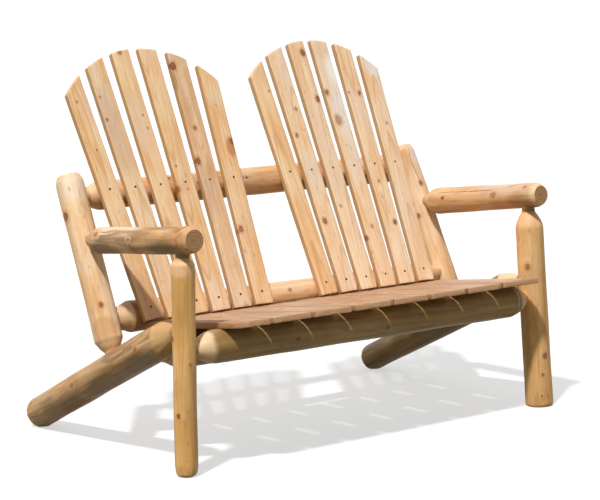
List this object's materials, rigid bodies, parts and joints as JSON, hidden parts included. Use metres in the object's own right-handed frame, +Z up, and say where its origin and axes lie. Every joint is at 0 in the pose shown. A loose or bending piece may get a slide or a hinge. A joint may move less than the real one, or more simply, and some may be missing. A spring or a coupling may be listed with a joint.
{
  "type": "rustic log bench",
  "caption": "Two-seat garden bench of peeled logs with tenon joints, a slatted seat, a double-fan slat back and log arms.",
  "frame": {"origin": "on the ground under the middle of the bench, at the centre of its outer box", "axes": "+X to the right as seen from the front, along the bench's length, +Y from the front of the bench to its back, +Z up"},
  "size_m": [1.3555, 0.8765, 1.0845],
  "materials": {
    "peeled_log": "peeled and sanded cedar, unfinished, satin",
    "sawn_board": "planed cedar board, unfinished, matt",
    "screw_steel": "dark coated steel, dull"
  },
  "bodies": {
    "root": {"arm_left": "peeled_log", "arm_right": "peeled_log", "back_post_left": "peeled_log", "back_post_right": "peeled_log", "back_screws": "screw_steel", "back_slat_left_1": "sawn_board", "back_slat_left_2": "sawn_board", "back_slat_left_3": "sawn_board", "back_slat_left_4": "sawn_board", "back_slat_left_5": "sawn_board", "back_slat_left_6": "sawn_board", "back_slat_right_1": "sawn_board", "back_slat_right_2": "sawn_board", "back_slat_right_3": "sawn_board", "back_slat_right_4": "sawn_board", "back_slat_right_5": "sawn_board", "back_slat_right_6": "sawn_board", "front_leg_left": "peeled_log", "front_leg_right": "peeled_log", "front_seat_rail": "peeled_log", "lower_back_rail": "peeled_log", "rear_seat_rail": "peeled_log", "seat_screws": "screw_steel", "seat_slat_1": "sawn_board", "seat_slat_2": "sawn_board", "seat_slat_3": "sawn_board", "seat_slat_4": "sawn_board", "seat_slat_5": "sawn_board", "seat_slat_6": "sawn_board", "seat_slat_7": "sawn_board", "seat_slat_8": "sawn_board", "side_rail_left": "peeled_log", "side_rail_right": "peeled_log", "upper_back_rail": "peeled_log"}
  },
  "joints": []
}
